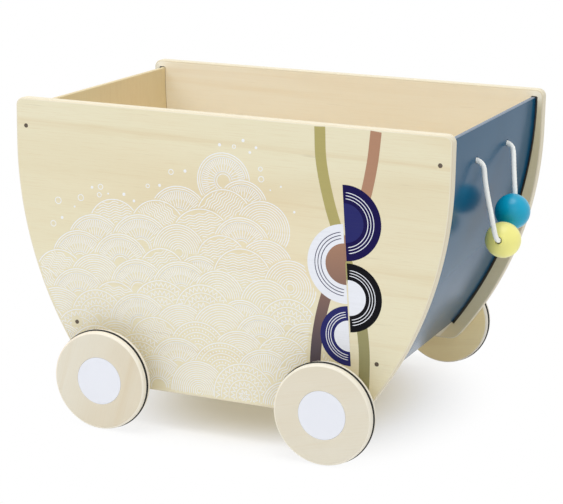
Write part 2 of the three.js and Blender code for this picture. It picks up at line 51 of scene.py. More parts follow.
# Sizes of the tub
HALF_LENGTH = 225
HALF_WIDTH = 155
PANEL_THICKNESS = 12
PANEL_TOP = 318
PANEL_BOTTOM = 38
STRAIGHT_DROP = 43
SWEEP_RADIUS = 372.5
SWEEP_X = HALF_LENGTH - SWEEP_RADIUS
SWEEP_Z = PANEL_TOP - STRAIGHT_DROP
TOP_CORNER_RADIUS = 8
BOTTOM_CORNER_RADIUS = 15
EDGE_ROUND = 1.6
END_RADIUS = 422.8
END_THICKNESS = 4.3
END_INNER_RADIUS = END_RADIUS - END_THICKNESS
END_MIDDLE_RADIUS = END_RADIUS - END_THICKNESS / 2
END_CENTRE_X = -206.5
END_CENTRE_Z = 305
END_TOP = 310
END_BOTTOM = 57.3
END_EDGE_ROUND = 1.2
END_CORNER_RADIUS = 6
GROOVE_DEPTH = 5
GROOVE_SHADOW_GAP = 2.7
GROOVE_TOP_GAP = 0.8
GROOVE_CORNER_RADIUS = 1.6
SEAT_GAP = 0.3
CUT_MARGIN = 3
SHEET_HALF_WIDTH = HALF_WIDTH - PANEL_THICKNESS + GROOVE_DEPTH - SEAT_GAP
FLOOR_UNDERSIDE = 62
FLOOR_TOP = 68.5
SCREW_HEIGHTS = {"upper": 290.5, "lower": 97}
SCREW_SINK = 0.2
SCREW_HEAD_RADIUS = 2
SCREW_SHANK_RADIUS = 1.1
RECESS_TURN = 0.3
RECESS_ARM = [(-1.35, -0.28), (1.35, -0.28), (1.35, 0.28), (-1.35, 0.28)]
RECESS_ENDS = [(-0.5, 1), (1.1, 0.35)]

# Sizes of the running gear
AXLE_X = 117.517
AXLE_Z = 50.2
AXLE_RADIUS = 4
AXLE_HALF_LENGTH = 183.8
AXLE_CHAMFER = 0.8
RUNNING_CLEARANCE = 0.1
WHEEL_IN = 16.5
WHEEL_OUT = 31.5
WHEEL_MIDDLE = (WHEEL_IN + WHEEL_OUT) / 2
WHEEL_RADIUS = 49.2
WHEEL_EDGE_ROUND = 2.4
TYRE_RADIUS = 50.2
TYRE_SECTION = 1.5
CAP_RADIUS = 23.75
CAP_THICKNESS = 1.5
WELL_RADIUS = 12
WELL_DEPTH = 7
SPACER_RADIUS = 8

# Sizes of the cord and what is on it
CORD_DIAMETER = 5
CORD_HOLE_RADIUS = 3.5
CORD_HOLE_Z = 277.5
CORD_HOLE_Y = 50
BEAD_RADIUS = 17.5
BEAD_BORE_RADIUS = 3.4
CORD_END_UP = 0.55
KNOT_RADIUS = 7.6
KNOT_LENGTH = 12

ENDS = {"front": 1, "rear": -1}
SIDES = {"right": -1, "left": 1}


def sheet_x(radius, z):
    """Where the front panel's cylinder of that radius stands at height z."""
    return END_CENTRE_X + sqrt(radius**2 - (z - END_CENTRE_Z) ** 2)


# Camera, solved from the photograph's outlines
CAMERA_PLACE = (718.258, -1693.694, 612.529)
CAMERA_AZIMUTH = radians(23.129)
CAMERA_ELEVATION = radians(14.056)
CAMERA_ROLL = radians(0.927)
CAMERA_FOCAL_PX = 1839.067
IMAGE_WIDTH_PX = 563
SENSOR_WIDTH = 36


def make_camera():
    data = bpy.data.cameras.new("camera")
    data.sensor_fit = "HORIZONTAL"
    data.sensor_width = SENSOR_WIDTH
    data.lens = CAMERA_FOCAL_PX / IMAGE_WIDTH_PX * SENSOR_WIDTH
    data.clip_start = 0.05
    data.clip_end = 60
    az, el = CAMERA_AZIMUTH, CAMERA_ELEVATION
    back = Vector((sin(az) * cos(el), -cos(az) * cos(el), sin(el)))
    level = Vector((cos(az), sin(az), 0))
    up = back.cross(level)
    c, s = cos(CAMERA_ROLL), sin(CAMERA_ROLL)
    columns = (c * level + s * up, c * up - s * level, back)
    camera = bpy.data.objects.new("camera", data)
    turn = Matrix(columns).transposed().to_4x4()
    camera.matrix_world = Matrix.Translation(Vector(CAMERA_PLACE) * MM) @ turn
    link(camera)
    scene.camera = camera


make_camera()


# Meshes

def mesh_object(name, shape, slot=None, node=None, tints=(), smooth=40, body="tub"):
    """A piece from points in millimetres and faces. One with a slot rides on a body."""
    points, faces = shape
    mesh = bpy.data.meshes.new(name)
    mesh.from_pydata([Vector(p) * MM for p in points], [], faces)
    for material in tints:
        mesh.materials.append(material)
    shade_smooth(mesh, smooth)
    piece = bpy.data.objects.new(name, mesh)
    link(piece)
    if slot:
        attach(piece, body)
    if node:
        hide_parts(node)
    return piece


def shade_smooth(mesh, angle):
    """Smooth shading, but for edges sharper than the angle in degrees."""
    mesh.polygons.foreach_set("use_smooth", [True] * len(mesh.polygons))
    mesh.update()
    mesh.set_sharp_from_angle(angle=radians(angle))


def around(centre, radius, angle):
    """A point on a circle."""
    return centre[0] + radius * cos(angle), centre[1] + radius * sin(angle)


def arc(cx, cz, radius, start, end, steps):
    """Points on a circle, both ends included; angles in radians."""
    return [around((cx, cz), radius, start + (end - start) * i / steps) for i in range(steps + 1)]


def turned(profile, centre, axis, segments):
    """Points and faces of a profile of (radius, distance along axis), turned about the axis."""
    turn = Vector((0, 0, 1)).rotation_difference(Vector(axis))
    closed = profile[0] == profile[-1]
    rows = profile[:-1] if closed else profile
    points, rings = [], []
    for radius, along in rows:
        count = segments if radius else 1
        rings.append([len(points) + i % count for i in range(segments)])
        points += [Vector((*around((0, 0), radius, tau * i / segments), along)) for i in range(count)]
    points = [Vector(centre) + turn @ p for p in points]
    if closed:
        rings.append(rings[0])
    faces = []
    for low, high in zip(rings, rings[1:]):
        for i in range(segments):
            j = (i + 1) % segments
            faces.append(list(dict.fromkeys((low[i], low[j], high[j], high[i]))))
    return points, faces


def stacked(rings, flip=False):
    """Points and faces of a solid through rings of points. Its first two faces are its ends."""
    count = len(rings[0])
    last = (len(rings) - 1) * count
    faces = [list(range(count)), list(range(last, last + count))[::-1]]
    for start in range(0, last, count):
        for i in range(count):
            a, b = start + i, start + (i + 1) % count
            faces.append([a, a + count, b + count, b])
    if flip:
        faces = [[face[0], *face[:0:-1]] for face in faces]
    return [point for ring in rings for point in ring], faces


def slab(outline, y_low, y_high):
    """Points and faces of an outline of (x, z) carried along Y."""
    return stacked([[(x, y, z) for x, z in outline] for y in (y_low, y_high)])


def swept(path, sides, radius_at):
    """Points and faces of a tube along a path. radius_at(distance, angle) gives its skin."""
    rings = []
    tangent = (path[1] - path[0]).normalized()
    normal = tangent.orthogonal().normalized()
    distance = 0
    for i, place in enumerate(path):
        ahead = path[min(i + 1, len(path) - 1)] - path[max(i - 1, 0)]
        ahead.normalize()
        normal = (tangent.rotation_difference(ahead) @ normal).normalized()
        tangent = ahead
        side = tangent.cross(normal)
        if i:
            distance += (place - path[i - 1]).length
        turns = [tau * k / sides for k in range(sides)]
        rings.append([place + radius_at(distance, a) * (cos(a) * normal + sin(a) * side) for a in turns])
    return stacked(rings, flip=True)


def smooth_path(points, spacing):
    """A centripetal Catmull-Rom curve through the points, resampled at an even spacing."""
    ends = [2 * points[0] - points[1], *points, 2 * points[-1] - points[-2]]
    fine = []
    for p0, p1, p2, p3 in zip(ends, ends[1:], ends[2:], ends[3:]):
        d0, d1, d2 = ((b - a).length ** 0.5 for a, b in ((p0, p1), (p1, p2), (p2, p3)))
        m1 = d1 * ((p1 - p0) / d0 - (p2 - p0) / (d0 + d1) + (p2 - p1) / d1)
        m2 = d1 * ((p2 - p1) / d1 - (p3 - p1) / (d1 + d2) + (p3 - p2) / d2)
        for k in range(40):
            t = k / 40
            fine.append((2 * t**3 - 3 * t**2 + 1) * p1 + (t**3 - 2 * t**2 + t) * m1
                        + (3 * t**2 - 2 * t**3) * p2 + (t**3 - t**2) * m2)
    fine.append(points[-1])
    reach = [0]
    for a, b in zip(fine, fine[1:]):
        reach.append(reach[-1] + (b - a).length)
    count = max(2, round(reach[-1] / spacing))
    path, k = [], 0
    for i in range(count + 1):
        goal = reach[-1] * i / count
        while k < len(fine) - 2 and reach[k + 1] < goal:
            k += 1
        share = (goal - reach[k]) / (reach[k + 1] - reach[k])
        path.append(fine[k].lerp(fine[k + 1], share))
    return path, reach[-1]


def cut(piece, cutters):
    """Cuts closed shapes out of a piece. Their faces keep their material's number."""
    for tool in cutters:
        modifier = piece.modifiers.new("cut", "BOOLEAN")
        modifier.operation = "DIFFERENCE"
        modifier.solver = "EXACT"
        modifier.object = tool
    apply_modifiers(piece)
    for tool in cutters:
        bpy.data.objects.remove(tool)


def apply_modifiers(piece):
    graph = bpy.context.evaluated_depsgraph_get()
    mesh = bpy.data.meshes.new_from_object(piece.evaluated_get(graph))
    old = piece.data
    piece.modifiers.clear()
    piece.data = mesh
    mesh.name = piece.name
    bpy.data.meshes.remove(old)


def settle_normals(piece):
    """Keeps large flat faces flat beside rounded edges."""
    shade_smooth(piece.data, 40)
    modifier = piece.modifiers.new("normals", "WEIGHTED_NORMAL")
    modifier.keep_sharp = True
    modifier.weight = 80
    apply_modifiers(piece)


def cutter(shape, number=0):
    piece = mesh_object("cutter", shape)
    for _ in range(number + 1):
        piece.data.materials.append(None)
    piece.data.polygons.foreach_set("material_index", [number] * len(piece.data.polygons))
    return piece


# Materials

def srgb(red, green, blue):
    """A colour read from the photograph, 0 to 255, as the shader's linear colour."""
    def linear(value):
        value /= 255
        return value / 12.92 if value <= 0.04045 else ((value + 0.055) / 1.055) ** 2.4
    return (linear(red), linear(green), linear(blue), 1)


def dimmed(colour, share, rise=0):
    return (*(share * value + rise for value in colour[:3]), 1)


class Nodes:
    """Shorthand for a node tree. A socket is fed a value or another node's output."""

    def __init__(self, tree):
        self.tree = tree

    def feed(self, socket, value):
        if isinstance(value, bpy.types.NodeSocket):
            self.tree.links.new(value, socket)
        else:
            socket.default_value = value

    def node(self, kind, **inputs):
        node = self.tree.nodes.new("ShaderNode" + kind)
        for name, value in inputs.items():
            self.feed(node.inputs[name.replace("_", " ")], value)
        return node

    def ramp(self, value, low, high):
        """0 below low and 1 above high."""
        node = self.node("MapRange", Value=value, From_Min=low, From_Max=high)
        node.interpolation_type = "SMOOTHSTEP"
        return node.outputs["Result"]

    def span(self, value, low, high):
        """A value of 0 to 1 spread from low to high."""
        return self.node("MapRange", Value=value, To_Min=low, To_Max=high).outputs["Result"]

    def maths(self, operation, *values):
        node = self.node("Math")
        node.operation = operation
        for socket, value in zip(node.inputs, values):
            self.feed(socket, value)
        return node.outputs[0]

    def mixed(self, first, second, share):
        node = self.node("Mix")
        node.data_type = "RGBA"
        for index, value in ((6, first), (7, second), (0, share)):
            self.feed(node.inputs[index], value)
        return node.outputs[2]

    def blend(self, first, second, value, low, high, most):
        """First, with up to most of second where the value passes from low to high."""
        return self.mixed(first, second, self.span(self.ramp(value, low, high), 0, most))

    def rays(self):
        """Whether a ray is the camera's, and whether it is mirrored or let through."""
        path = self.node("LightPath").outputs
        mirrored_ray = self.maths("MAXIMUM", path["Is Glossy Ray"], path["Is Transmission Ray"])
        return path["Is Camera Ray"], mirrored_ray


class Shader(Nodes):
    """The nodes of one material."""

    def __init__(self, name, **inputs):
        self.material = bpy.data.materials.new(name)
        self.material.use_nodes = True
        super().__init__(self.material.node_tree)
        self.surface = self.tree.nodes["Principled BSDF"]
        for socket, value in inputs.items():
            self.set(socket.replace("_", " "), value)
        self.place = self.node("TexCoord").outputs["Object"]

    def set(self, name, value):
        self.feed(self.surface.inputs[name], value)

    def colour(self, value):
        self.set("Base Color", value)

    def axis(self, name):
        """The place's distance along one axis in metres."""
        return self.node("SeparateXYZ", Vector=self.place).outputs[name]

    def stretched(self, scale, turn=(0, 0, 0), shift=(0, 0, 0), source=None):
        """The place on the object in metres, turned, shifted and scaled."""
        node = self.node("Mapping", Vector=source or self.place, Scale=scale, Rotation=turn, Location=shift)
        return node.outputs["Vector"]

    def noise(self, scale, source=None, shift=(0, 0, 0), detail=3, roughness=0.55, distortion=0):
        scale = scale if isinstance(scale, tuple) else (scale,) * 3
        place = self.stretched(scale, shift=shift, source=source)
        node = self.node("TexNoise", Vector=place, Scale=1, Detail=detail, Roughness=roughness,
                         Distortion=distortion)
        return node.outputs["Fac"]

    def bump(self, height, distance, strength):
        """Adds a relief to those already there."""
        node = self.node("Bump", Height=height, Strength=strength, Distance=distance)
        previous = self.surface.inputs["Normal"]
        if previous.is_linked:
            self.feed(node.inputs["Normal"], previous.links[0].from_socket)
        self.feed(previous, node.outputs["Normal"])


def wood(name, base, streak, turn=0.0, shift=0.0, contrast=1.0, roughness=0.5, shade_beyond_ends=None):
    """Pale lacquered veneer. Its grain runs along X, turned about Y by turn. The last argument,
    if given, is a painted shade: it darkens the strips beyond the end panels, below the top edge."""
    shader = Shader(name, Roughness=roughness, Coat_Weight=0.1, Coat_Roughness=0.35)
    turned_place = shader.stretched((1, 1, 1), (0, turn, 0), (shift, shift * 0.37, shift * 0.71))
    clouds = shader.noise((1.6, 4, 9), turned_place, distortion=0.5)
    tints = shader.noise((2.1, 5, 6.5), turned_place, (4, 2, 9), detail=2)
    figure = shader.noise((1.5, 10, 44), turned_place, detail=6, roughness=0.6, distortion=0.7)
    dashes = shader.noise((13, 60, 210), turned_place, roughness=0.6)
    fibre = shader.noise((26, 200, 900), turned_place, roughness=0.7)
    pores = shader.noise((120, 700, 2600), turned_place, detail=2)
    pale = tuple(0.5 * (b + c) for b, c in zip(base, (0.9, 0.88, 0.8, 1)))
    rosy = (min(1, base[0] * 1.04), base[1] * 0.93, base[2] * 0.86, 1)
    dark = dimmed(streak, 0.62)
    # Painted shade on the strips of inner face beyond the end panels, where the cart shades them.
    if shade_beyond_ends:
        beyond = shader.ramp(bend_radius(shader), (END_RADIUS - 1) * MM, (END_RADIUS + 1) * MM)
        below = shader.ramp(shader.axis("Z"), (PANEL_TOP - 2) * MM, (PANEL_TOP - 26) * MM)
        share = shader.maths("MULTIPLY", beyond, below)
        base, streak = (shader.mixed(colour, tuple(a * b for a, b in zip(colour, shade_beyond_ends)), share)
                        for colour in (base, streak))
    layers = [
        (pale, tints, 0.5, 0.78, 0.3), (rosy, tints, 0.5, 0.24, 0.55),
        (streak, clouds, 0.42, 0.72, 0.3 * contrast), (streak, figure, 0.52, 0.76, 0.34 * contrast),
        (dark, dashes, 0.66, 0.82, 0.22 * contrast), (streak, fibre, 0.45, 0.8, 0.2 * contrast),
        (dark, pores, 0.66, 0.8, 0.12 * contrast),
    ]
    for layer in layers:
        base = shader.blend(base, *layer)
    shader.colour(base)
    shader.set("Roughness", shader.span(fibre, roughness - 0.08, roughness + 0.1))
    shader.bump(fibre, 0.00006, 0.5)
    shader.bump(pores, 0.00004, 0.4)
    return shader.material


def ply_edge(name, pale, dark, layer, across):
    """The sanded edge of plywood. across gives the depth into the board in metres."""
    shader = Shader(name, Roughness=0.55, Coat_Weight=0.08, Coat_Roughness=0.4)
    depth = across(shader)
    wander = shader.noise(14, detail=2)
    depth = shader.maths("ADD", depth, shader.span(wander, -0.00012, 0.00012))
    wave = shader.maths("PINGPONG", shader.maths("ADD", depth, 5.0 * layer), layer)
    band = shader.ramp(shader.maths("DIVIDE", wave, layer), 0.4, 0.62)
    fibre = shader.noise((700, 500, 700), roughness=0.7)
    tinted = shader.mixed(pale, dark, shader.span(band, 0.05, 0.55))
    shader.colour(shader.blend(tinted, dark, fibre, 0.5, 0.8, 0.35))
    shader.bump(fibre, 0.00008, 0.6)
    shader.bump(band, 0.00003, 0.5)
    return shader.material


def bend_radius(shader):
    """How far a place is from the axis of the nearer end panel's bend, in metres."""
    across = shader.maths("SUBTRACT", shader.maths("ABSOLUTE", shader.axis("X")), END_CENTRE_X * MM)
    up = shader.maths("SUBTRACT", shader.axis("Z"), END_CENTRE_Z * MM)
    squares = (shader.maths("POWER", side, 2.0) for side in (across, up))
    return shader.maths("SQRT", shader.maths("ADD", *squares))


def paint(name, colour, shade, roughness, coat, grain=0.0, specular=0.5, ior=1.5):
    """Sprayed satin paint with a faint orange peel, and the wood's grain under it."""
    shader = Shader(name, Roughness=roughness, Specular_IOR_Level=specular, IOR=ior, Coat_Weight=coat,
                    Coat_Roughness=0.16)
    mottle = shader.noise(18, detail=4)
    shader.colour(shader.blend(colour, shade, mottle, 0.3, 0.75, 0.5))
    shader.bump(shader.noise(900, detail=2), 0.00002, 0.35)
    if grain:
        shader.bump(shader.noise((60, 30, 900)), 0.00003, grain)
    shader.set("Roughness", shader.span(mottle, roughness - 0.04, roughness + 0.05))
    return shader.material


def rubber():
    shader = Shader("tyre rubber", Roughness=0.62, Specular_IOR_Level=0.4)
    grime = shader.noise(60, detail=5)
    shader.colour(shader.blend(srgb(14, 15, 14), srgb(40, 39, 37), grime, 0.5, 0.85, 0.6))
    shader.bump(shader.noise(2400, detail=2), 0.00003, 0.5)
    shader.set("Roughness", shader.span(grime, 0.5, 0.75))
    return shader.material


def moulded(name, colour, roughness=0.42):
    """Moulded plastic with a fine spark texture."""
    shader = Shader(name, Roughness=roughness)
    tone = shader.noise(25)
    shade = dimmed(colour, 0.94)
    shader.colour(shader.mixed(colour, shade, shader.span(tone, 0, 0.6)))
    shader.bump(shader.noise(3200, detail=1), 0.000015, 0.5)
    return shader.material


def steel(name, colour, roughness, along=(4, 4000, 4000)):
    """Metal with fine drawn lines and a little tarnish."""
    shader = Shader(name, Roughness=roughness, Metallic=0.95)
    tarnish = shader.noise(70, detail=4)
    shade = dimmed(colour, 0.6)
    shader.colour(shader.blend(colour, shade, tarnish, 0.45, 0.8, 0.6))
    shader.bump(shader.noise(along, detail=2), 0.00001, 0.5)
    shader.set("Roughness", shader.span(tarnish, roughness - 0.08, roughness + 0.15))
    return shader.material


def woven(name, colour, shade):
    """Braided cord: soft fibres that lie along the strands."""
    shader = Shader(name, Roughness=0.85, Specular_IOR_Level=0.25, Sheen_Weight=0.35)
    fluff = shader.noise(1100, detail=4, roughness=0.7)
    soil = shader.noise(60)
    soft = shader.blend(colour, shade, fluff, 0.4, 0.8, 0.5)
    shader.colour(shader.blend(soft, shade, soil, 0.5, 0.8, 0.3))
    shader.bump(fluff, 0.00012, 0.6)
    return shader.material


def ink(name, colour, fade=None, specular=0.2):
    """Screen-printed ink, a little uneven where it lies on the grain, that may fade downwards."""
    shader = Shader(name, Roughness=0.55, Specular_IOR_Level=specular)
    grain = shader.noise((26, 200, 900), roughness=0.7)
    lift, fade_lift = (dimmed(tone, 0.86, 0.012) for tone in (colour, fade or colour))
    if fade:
        share = shader.ramp(shader.axis("Z"), 0.09, 0.25)
        colour, lift = shader.mixed(fade, colour, share), shader.mixed(fade_lift, lift, share)
    shader.colour(shader.blend(colour, lift, grain, 0.4, 0.8, 0.5))
    shader.bump(grain, 0.00004, 0.5)
    return shader.material


PANEL_FACE = wood("side panel veneer", srgb(230, 223, 193), srgb(212, 188, 142), contrast=1.5)
# The tub's inner veneer is painted lighter than its outer face, as painted fill light inside the tub, and
# darker on the strips beyond the end panels, as painted shade.
INSIDE_VENEER_PAINTED_LIGHT_AND_SHADE = wood("inner veneer with painted fill light", srgb(250, 243, 224), srgb(236, 217, 182), shift=2.3,
                    shade_beyond_ends=(0.83, 0.78, 0.6, 1))
PANEL_EDGE = ply_edge("side panel edge", srgb(232, 225, 203), srgb(214, 200, 168), 0.00171,
                      lambda shader: shader.maths("ABSOLUTE", shader.axis("Y")))
# The groove walls, and the other cuts in the side panels, are dark brown: painted shade in the gaps.
GROOVE_PAINTED_SHADE = wood("routed groove painted shade", srgb(92, 76, 52), srgb(70, 56, 38), shift=3.1)
END_FACE = wood("end panel veneer", srgb(228, 213, 172), srgb(206, 179, 130), turn=pi / 2, shift=1.7)
END_PAINT = paint("slate blue paint", srgb(18, 83, 118), srgb(15, 77, 110), 0.2, 0, grain=0.1, ior=1.17)
END_PLY = 0.00086
END_EDGES = {
    # The front sheet's edge is blue paint, coloured a paler blue-grey as a painted sheen of the bright
    # surroundings at a grazing angle.
    "front": ply_edge("front panel edge with painted sheen", srgb(124, 138, 154), srgb(100, 118, 136), END_PLY, bend_radius),
    "rear": ply_edge("rear panel edge", srgb(226, 212, 174), srgb(202, 180, 136), END_PLY, bend_radius),
}
FLOOR_FACE = wood("floor veneer", srgb(226, 208, 168), srgb(198, 167, 114), shift=5.3)
# A paler copy of the wheel veneer for the rounded rims: a painted highlight on the rounded edges.
WHEEL_RIM_HIGHLIGHT = wood("wheel rim painted highlight", srgb(238, 233, 218), srgb(222, 206, 172), shift=9.1, contrast=0.7)
RUBBER = rubber()
CAP_WHITE = moulded("white hub disc", srgb(232, 235, 244))
NYLON = moulded("spacer nylon", srgb(216, 214, 205), 0.5)
STEEL = steel("axle steel", srgb(186, 186, 184), 0.34)
DARK_STEEL = steel("dark screw steel", srgb(110, 100, 90), 0.42, along=(3000, 40, 3000))
CORD_WHITE = woven("white cord", srgb(253, 255, 251), srgb(226, 231, 228))
YELLOW = paint("yellow bead paint", srgb(253, 248, 150), srgb(247, 240, 138), 0.36, 0.1, specular=0.4)
BLUE = paint("blue bead paint", srgb(2, 168, 206), srgb(2, 158, 198), 0.32, 0.1, specular=0.35)
INK_LINE = ink("white line ink", srgb(240, 242, 246))
INK_WHITE = ink("white ink", srgb(233, 236, 244))
INK_NAVY = ink("navy ink", srgb(20, 12, 74), specular=0.1)
INK_BLACK = ink("black ink", srgb(9, 9, 16), specular=0.1)
INK_INDIGO = ink("indigo ink", srgb(40, 42, 104), specular=0.1)
INK_OLIVE = ink("olive ink", srgb(176, 166, 106), fade=srgb(150, 146, 104))
INK_BROWN = ink("brown ink", srgb(176, 134, 108), fade=srgb(84, 74, 82))


# Pull cord, through the drawing's points: (out from the hole, across, up from the hole)
RIGHT_STRAND = [
    (-3.4, 0, 0.45), (-0.5, 0, -0.05), (2.3, 0, -0.95), (4.7, -0.1, -2.6), (6.6, -0.2, -5), (7.7, -0.3, -8),
    (8.9, -0.5, -16.5), (10.9, -0.6, -27), (13.3, -0.5, -37.5), (15.6, 0.1, -47.5), (17.6, 1.8, -58.5),
]
LEFT_STRAND = [
    (15.5, -21.6, -33.5), (13.3, -16.8, -25), (11.1, -11.6, -17.4), (9.4, -7.4, -11.9), (7.9, -4.2, -7.2),
    (6.6, -2.4, -4.3), (4.7, -1.2, -2.3), (2.3, -0.4, -0.9), (-0.5, 0, -0.05), (-3.4, 0, 0.45),
]
TURN_TO_YELLOW = [(19.4, -44.1, -71.5), (20.1, -42, -75.3), (20.5, -38.8, -78)]
TURN_BETWEEN = [(20.3, -0.3, -84.75), (19.7, 3.9, -83.3), (19.1, 7.3, -80.3)]
YELLOW_CENTRE = (20.55, -19.75, -82.05)
YELLOW_BORE_ANGLE = radians(-9.9)
BLUE_BORE_ANGLE = radians(66.9)
BEAD_LINE_ANGLE = radians(30.1)
BEAD_LINE_OUT = -0.05
BEAD_GAP = 6.5
BORE_RUN = 0.88
KNOT_TAIL = [(-2.5, 0.6, -1.4), (-5.5, 0.9, -4.5), (-7.6, 0.7, -9), (-8.2, 0.2, -13.5)]
KNOT_WAVE = 1.1
KNOT_STEPS = 36
BRAID_STRANDS = 4
BRAID_PITCH = 15
BRAID_RELIEF = 0.14

HOLE = Vector((sheet_x(END_RADIUS, CORD_HOLE_Z), 0, CORD_HOLE_Z))
KNOT_FACE_X = sheet_x(END_INNER_RADIUS, CORD_HOLE_Z - KNOT_RADIUS) - SEAT_GAP


def across_at(angle):
    return Vector((0, cos(angle), sin(angle)))


def bead_places():
    yellow = HOLE + Vector(YELLOW_CENTRE)
    line = across_at(BEAD_LINE_ANGLE)
    line.x = BEAD_LINE_OUT
    blue = yellow + line * (2 * BEAD_RADIUS + BEAD_GAP)
    return (yellow, across_at(YELLOW_BORE_ANGLE)), (blue, across_at(BLUE_BORE_ANGLE))


def from_hole(points, side=0):
    return [HOLE + Vector((out, across + side * CORD_HOLE_Y, up)) for out, across, up in points]


def cord_points():
    runs = [[centre + bore * (share * BORE_RUN * BEAD_RADIUS) for share in (-1, -0.5, 0, 0.5, 1)]
            for centre, bore in bead_places()]
    ends = [Vector((KNOT_FACE_X + SEAT_GAP, side * CORD_HOLE_Y, CORD_HOLE_Z + CORD_END_UP))
            for side in (-1, 1)]
    return [ends[0], *from_hole(RIGHT_STRAND, -1), *from_hole(TURN_TO_YELLOW), *runs[0],
            *from_hole(TURN_BETWEEN), *runs[1], *from_hole(LEFT_STRAND, 1), ends[1]]


def braid(radius):
    """The skin of a braided cord, whose strands cross over each other."""
    def skin(distance, angle):
        lean = tau * distance / BRAID_PITCH
        one = abs(cos(BRAID_STRANDS * (angle + lean) / 2))
        other = abs(cos(BRAID_STRANDS * (angle - lean) / 2))
        return radius * (1 - BRAID_RELIEF * (1 - max(one, other)))
    return skin


def bead_profile():
    mouth = 0.9
    half = asin((BEAD_BORE_RADIUS + mouth) / BEAD_RADIUS)
    ball = arc(0, 0, BEAD_RADIUS, -pi / 2 + half, pi / 2 - half, 40)
    lip = arc(BEAD_BORE_RADIUS + mouth, ball[-1][1] - mouth, mouth, pi / 2 + 0.1, pi, 5)
    return [*ball, *lip, *((r, -z) for r, z in lip[::-1]), ball[0]]


def make_cord():
    path, length = smooth_path(cord_points(), 0.55)
    cord = mesh_object("braided_pull_cord", swept(path, 32, braid(CORD_DIAMETER / 2)),
                       "cord_white", "pull_cord", [CORD_WHITE], 80)
    for name, tint, (centre, bore) in zip(("yellow", "blue"), (YELLOW, BLUE), bead_places()):
        shape = turned(bead_profile(), centre, bore, 72)
        mesh_object(f"{name}_wooden_bead", shape, f"bead_{name}_paint", f"bead_{name}",
                                 [tint], body=f"{name}_bead")
    knots = [make_knot(name) for name in SIDES]


def make_knot(name):
    """An overhand knot drawn up against the panel, with a short tail inside the tub."""
    side, strand = SIDES[name], CORD_DIAMETER / 2
    middle = Vector((KNOT_FACE_X - KNOT_LENGTH / 2, side * CORD_HOLE_Y, CORD_HOLE_Z))
    mean, along = KNOT_RADIUS - strand - KNOT_WAVE, KNOT_LENGTH / 2 - strand
    turns = [tau * i / KNOT_STEPS for i in range(KNOT_STEPS)]
    loops = [middle + Vector((-along * sin(3 * t), *around((0, 0), mean + KNOT_WAVE * cos(3 * t), 2 * t)))
             for t in turns]
    loops.append(loops[0])
    tail = [loops[-1] + Vector((out, side * across, up)) for out, across, up in KNOT_TAIL]
    path, _ = smooth_path(loops + tail, 0.5)
    return mesh_object(f"overhand_knot_{name}", swept(path, 20, braid(strand)), "cord_white",
                       f"cord_knot_{name}", [CORD_WHITE], 80)


make_cord()


# Tub

def panel_outline(inset):
    foot_z = PANEL_BOTTOM + BOTTOM_CORNER_RADIUS
    reach = SWEEP_RADIUS - BOTTOM_CORNER_RADIUS
    foot_angle = asin((foot_z - SWEEP_Z) / reach)
    foot_x = SWEEP_X + reach * cos(foot_angle)
    corner = (HALF_LENGTH - TOP_CORNER_RADIUS, PANEL_TOP - TOP_CORNER_RADIUS)
    half = [
        *arc(foot_x, foot_z, BOTTOM_CORNER_RADIUS - inset, -pi / 2, foot_angle, 12),
        *arc(SWEEP_X, SWEEP_Z, SWEEP_RADIUS - inset, foot_angle, 0, 96)[1:],
        *arc(*corner, TOP_CORNER_RADIUS - inset, 0, pi / 2, 12),
    ]
    return half + [(-x, z) for x, z in reversed(half)]


def rounded_slab(outline_at, y_low, y_high, round_by):
    """Points and faces of a slab whose rims are rounded."""
    rims = [(round_by - x, y_low + round_by - y) for y, x in arc(0, 0, round_by, 0, pi / 2, 6)]
    rims += [(inset, y_low + y_high - y) for inset, y in reversed(rims)]
    return stacked([[(x, y, z) for x, z in outline_at(inset)] for inset, y in rims])


def band_corner(radius, angle, round_by, turn):
    corner = around((END_CENTRE_X, END_CENTRE_Z), radius, angle)
    return arc(*corner, round_by, angle + turn, angle + turn + pi / 2, 6)


def band(outer, inner, low, high, round_by):
    """The outline between two radii, from the outer face's foot, with its upper corners rounded."""
    turn = high - round_by / END_RADIUS
    return [
        *arc(END_CENTRE_X, END_CENTRE_Z, outer, low, turn, 90)[:-1],
        *band_corner(outer - round_by, turn, round_by, 0),
        *band_corner(inner + round_by, turn, round_by, pi / 2),
        *arc(END_CENTRE_X, END_CENTRE_Z, inner, turn, low, 90)[1:],
    ]


def rod_profile(radius, reach):
    return [(0, -reach), (radius, -reach), (radius, reach), (0, reach)]


def mirrored(outline, end):
    return outline if end == 1 else [(-x, z) for x, z in reversed(outline)]


def sheet_angle(z):
    return asin((z - END_CENTRE_Z) / END_RADIUS)


def end_groove(end):
    low = sheet_angle(END_BOTTOM) - SEAT_GAP / END_RADIUS
    high = sheet_angle(END_TOP) + GROOVE_TOP_GAP / END_RADIUS
    outer, inner = END_RADIUS + GROOVE_SHADOW_GAP, END_INNER_RADIUS - SEAT_GAP
    return mirrored(band(outer, inner, low, high, GROOVE_CORNER_RADIUS), end)


def floor_groove():
    reach = sheet_x(END_MIDDLE_RADIUS, FLOOR_TOP)
    low, high = FLOOR_UNDERSIDE - SEAT_GAP, FLOOR_TOP + SEAT_GAP
    return [(-reach, low), (reach, low), (reach, high), (-reach, high)]


def screw_places(side):
    for end in ENDS:
        for height, z in SCREW_HEIGHTS.items():
            x, y = ENDS[end] * sheet_x(END_MIDDLE_RADIUS, z), SIDES[side] * (HALF_WIDTH - SCREW_SINK)
            yield f"{end}_{side}_{height}", Vector((x, y, z))


